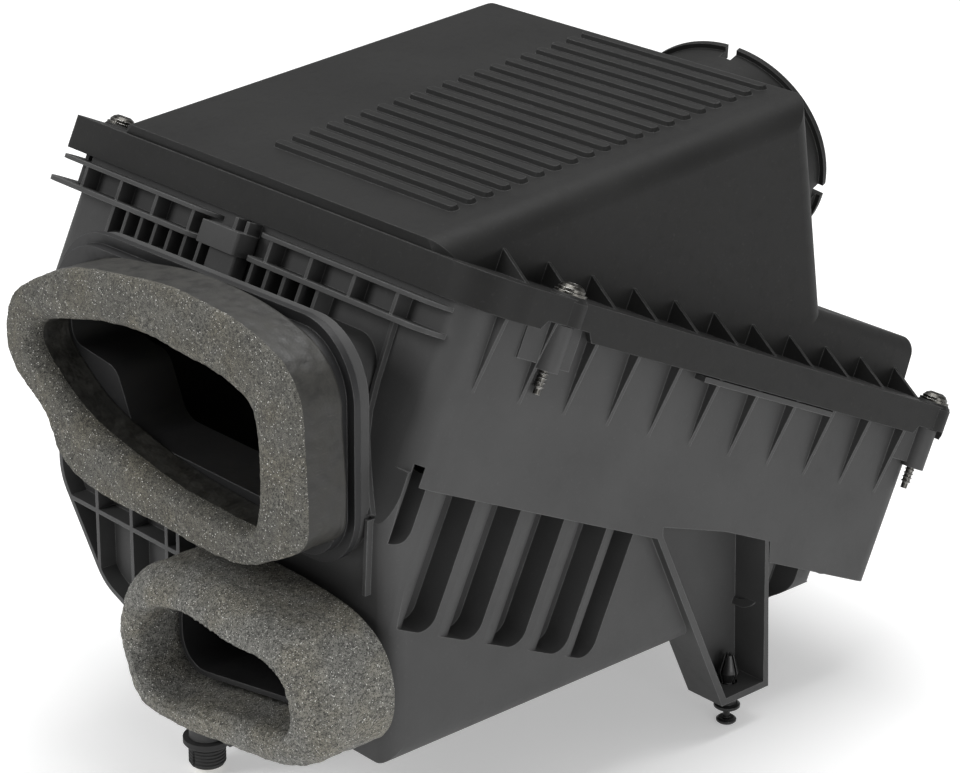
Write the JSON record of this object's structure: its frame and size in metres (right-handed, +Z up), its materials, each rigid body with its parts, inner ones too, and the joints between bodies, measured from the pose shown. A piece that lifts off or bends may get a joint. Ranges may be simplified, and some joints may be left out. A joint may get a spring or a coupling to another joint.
{
  "type": "air filter housing",
  "caption": "Two-part moulded air filter box with a ribbed sloping cover, two foam-faced front inlets, a round rear outlet and a lift-out panel filter.",
  "frame": {"origin": "on the axis of the locating peg under the lower housing, at the underside of the peg's collar", "axes": "+Z up, away from the peg's tip; -Y towards the front, where both inlets face; +X to the side that carries the bracket and push rivet"},
  "size_m": [0.3024, 0.4145, 0.3053],
  "materials": {
    "housing_plastic": "satin, fine moulded grain",
    "cover_plastic": "satin, fine moulded grain",
    "bezel_plastic": "satin",
    "inlet_foam_light": "open-cell foam with a skin on its sides",
    "inlet_foam_dark": "open-cell foam",
    "duct_rubber": "matte",
    "tube_plastic": "satin",
    "seal_rubber": "matte",
    "screen_plastic": "satin",
    "filter_rubber": "matte",
    "filter_paper": "pleated filter paper",
    "grid_plastic": "satin",
    "insert_brass": "machined",
    "rivet_plastic": "satin",
    "peg_plastic": "satin, pale",
    "peg_rubber": "matte",
    "valve_rubber": "matte",
    "screw_steel": "black coated steel",
    "washer_steel": "black coated steel"
  },
  "bodies": {
    "housing": {"lower_housing": "housing_plastic", "inlet_bezel": "bezel_plastic", "upper_inlet_foam": "inlet_foam_light", "lower_duct": "duct_rubber", "lower_inlet_foam": "inlet_foam_dark", "threaded_inserts": "insert_brass", "rivet_body": "rivet_plastic", "peg_core": "peg_plastic", "peg_sleeve": "peg_rubber", "drain_valve": "valve_rubber"},
    "cover": {"upper_cover": "cover_plastic", "outlet_tube": "tube_plastic", "outlet_o_ring": "seal_rubber", "outlet_screen": "screen_plastic"},
    "filter": {"filter_seal": "filter_rubber", "filter_pleats": "filter_paper", "filter_grid": "grid_plastic"},
    "rivet_pin": {"rivet_pin": "rivet_plastic"},
    "screw_front_right": {"cover_screw_front_right": "screw_steel", "screw_washer_front_right": "washer_steel"},
    "screw_front_left": {"cover_screw_front_left": "screw_steel", "screw_washer_front_left": "washer_steel"},
    "screw_rear_right": {"cover_screw_rear_right": "screw_steel", "screw_washer_rear_right": "washer_steel"},
    "screw_rear_left": {"cover_screw_rear_left": "screw_steel", "screw_washer_rear_left": "washer_steel"}
  },
  "joints": [
    {"name": "cover_lift", "type": "slide", "parent": "housing", "child": "cover", "axis": [0, 0.4226, 0.9063], "range_m": [0, 0.16]},
    {"name": "filter_lift", "type": "slide", "parent": "housing", "child": "filter", "axis": [0, 0.4226, 0.9063], "range_m": [0, 0.072]},
    {"name": "rivet_pin_push", "type": "slide", "parent": "housing", "child": "rivet_pin", "axis": [0, 0, 1], "range_m": [0, 0.0054]},
    {"name": "screw_front_right_rise", "type": "slide", "parent": "cover", "child": "screw_front_right", "axis": [0, 0.4226, 0.9063], "range_m": [0, 0.012]},
    {"name": "screw_front_left_rise", "type": "slide", "parent": "cover", "child": "screw_front_left", "axis": [0, 0.4226, 0.9063], "range_m": [0, 0.012]},
    {"name": "screw_rear_right_rise", "type": "slide", "parent": "cover", "child": "screw_rear_right", "axis": [0, 0.4226, 0.9063], "range_m": [0, 0.012]},
    {"name": "screw_rear_left_rise", "type": "slide", "parent": "cover", "child": "screw_rear_left", "axis": [0, 0.4226, 0.9063], "range_m": [0, 0.012]}
  ],
  "couplings": [
    {"joint": "filter_lift", "follows": "cover_lift", "ratio": 0.45}
  ]
}
